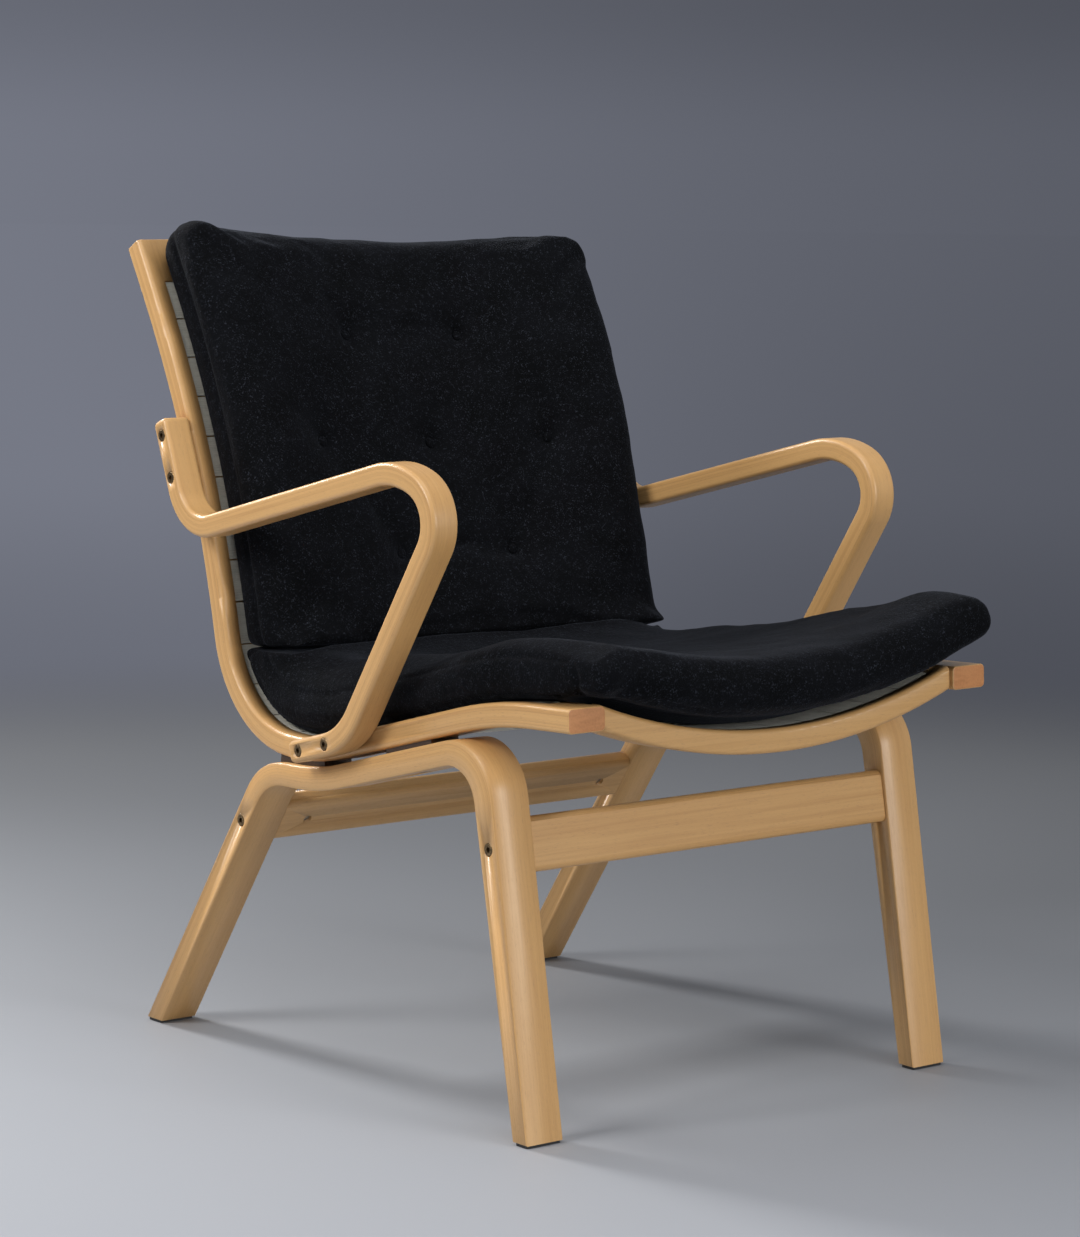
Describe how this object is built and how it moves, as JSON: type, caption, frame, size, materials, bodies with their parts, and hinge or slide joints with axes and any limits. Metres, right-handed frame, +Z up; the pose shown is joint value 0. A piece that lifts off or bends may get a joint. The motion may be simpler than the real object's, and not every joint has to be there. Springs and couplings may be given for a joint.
{
  "type": "lounge chair",
  "caption": "Bentwood lounge chair: laminated side members with a hollow webbed seat and back on bent base frames, looped arms and loose seat and back cushions.",
  "frame": {"origin": "on the floor, in the middle of the chair's width and length", "axes": "+Z up; -Y is the front, where the sitter faces; +X is the sitter's left"},
  "size_m": [0.612, 0.806, 0.8614],
  "materials": {
    "beech": "clear satin lacquer over bent beech laminate",
    "bronzed_steel": "dark bronzed",
    "zinc_plated_steel": "zinc plated",
    "dark_spacer": "stained dark",
    "glide_plastic": "matte",
    "webbing": "woven flat strap",
    "dark_wool": "felted wool with fine light flecks"
  },
  "bodies": {
    "root": {"base_frame_right": "beech", "base_frame_left": "beech", "front_stretcher": "beech", "rear_stretcher": "beech", "side_member_right": "beech", "side_member_left": "beech", "front_rail": "beech", "top_rail": "beech", "arm_right": "beech", "arm_left": "beech", "stretcher_dowels": "beech", "rail_dowels": "beech", "stretcher_bolts": "bronzed_steel", "arm_bolts": "bronzed_steel", "frame_bolts": "bronzed_steel", "stretcher_barrel_nuts": "zinc_plated_steel", "arm_insert_nuts": "zinc_plated_steel", "frame_insert_nuts": "zinc_plated_steel", "seat_spacers": "dark_spacer", "foot_glides": "glide_plastic", "cross_straps": "webbing", "lengthwise_straps": "webbing", "seat_cushion": "dark_wool", "back_cushion": "dark_wool", "back_tuft_buttons": "dark_wool"}
  },
  "joints": []
}
